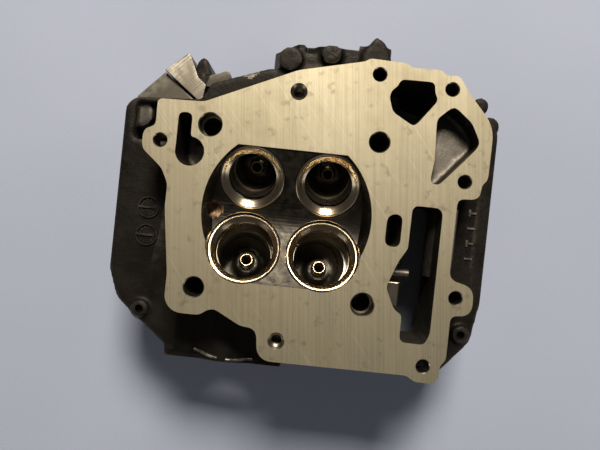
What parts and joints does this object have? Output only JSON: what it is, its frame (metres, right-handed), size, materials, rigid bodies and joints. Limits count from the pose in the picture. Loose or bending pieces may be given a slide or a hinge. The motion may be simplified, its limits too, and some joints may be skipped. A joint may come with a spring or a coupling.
{
  "type": "cylinder head",
  "caption": "Single-cylinder four-valve engine cylinder head, deck face up, with valve seats, guides, camshaft in its bearings, ports, chain tunnel and bolt holes.",
  "frame": {"origin": "middle of the bounding box at the level of the cover gasket face that the head lies on", "axes": "+X towards the timing-chain side, +Y towards the exhaust side, +Z out of the deck (combustion) face"},
  "size_m": [0.2238, 0.2014, 0.098],
  "materials": {
    "casting": "cast aluminium painted satin black, with the deck and gasket faces machined bare",
    "valve_seat": "ground sintered steel",
    "valve_guide": "turned bronze alloy",
    "stem_seal": "matt moulded rubber",
    "spring_steel": "dark pressed spring steel",
    "camshaft": "chilled iron with ground lobes and journals",
    "sprocket": "blanked and hardened steel",
    "bearing_cap": "bare cast aluminium with machined faces",
    "copper": "soft copper",
    "fastener": "yellow zinc plate",
    "plain_steel": "plain turned steel"
  },
  "bodies": {
    "head": {"head_casting": "casting", "intake_left_valve_seat": "valve_seat", "intake_left_valve_guide": "valve_guide", "intake_left_guide_circlip": "spring_steel", "intake_left_spring_seat": "spring_steel", "intake_left_stem_seal": "stem_seal", "intake_right_valve_seat": "valve_seat", "intake_right_valve_guide": "valve_guide", "intake_right_guide_circlip": "spring_steel", "intake_right_spring_seat": "spring_steel", "intake_right_stem_seal": "stem_seal", "exhaust_left_valve_seat": "valve_seat", "exhaust_left_valve_guide": "valve_guide", "exhaust_left_guide_circlip": "spring_steel", "exhaust_left_spring_seat": "spring_steel", "exhaust_left_stem_seal": "stem_seal", "exhaust_right_valve_seat": "valve_seat", "exhaust_right_valve_guide": "valve_guide", "exhaust_right_guide_circlip": "spring_steel", "exhaust_right_spring_seat": "spring_steel", "exhaust_right_stem_seal": "stem_seal", "camshaft_cap_left": "bearing_cap", "cap_bolt_left_intake": "fastener", "cap_dowel_left_intake": "plain_steel", "cap_bolt_left_exhaust": "fastener", "cap_dowel_left_exhaust": "plain_steel", "camshaft_cap_right": "bearing_cap", "cap_bolt_right_intake": "fastener", "cap_dowel_right_intake": "plain_steel", "cap_bolt_right_exhaust": "fastener", "cap_dowel_right_exhaust": "plain_steel", "camshaft_thrust_plate": "plain_steel", "thrust_plate_screw": "fastener", "core_plug_left": "plain_steel", "core_plug_right": "plain_steel", "oil_gallery_plug": "plain_steel", "coolant_drain_washer": "copper", "coolant_drain_plug": "fastener", "cover_dowel_left": "plain_steel", "cover_dowel_right": "plain_steel"},
    "cam": {"camshaft": "camshaft", "cam_sprocket": "sprocket", "sprocket_bolt_1": "fastener", "sprocket_bolt_2": "fastener"}
  },
  "joints": [
    {"name": "camshaft_spin", "type": "hinge", "parent": "head", "child": "cam", "pos_m": [-0.00993, -0.00863, 0.033], "axis": [1, 0, 0], "continuous": true}
  ]
}
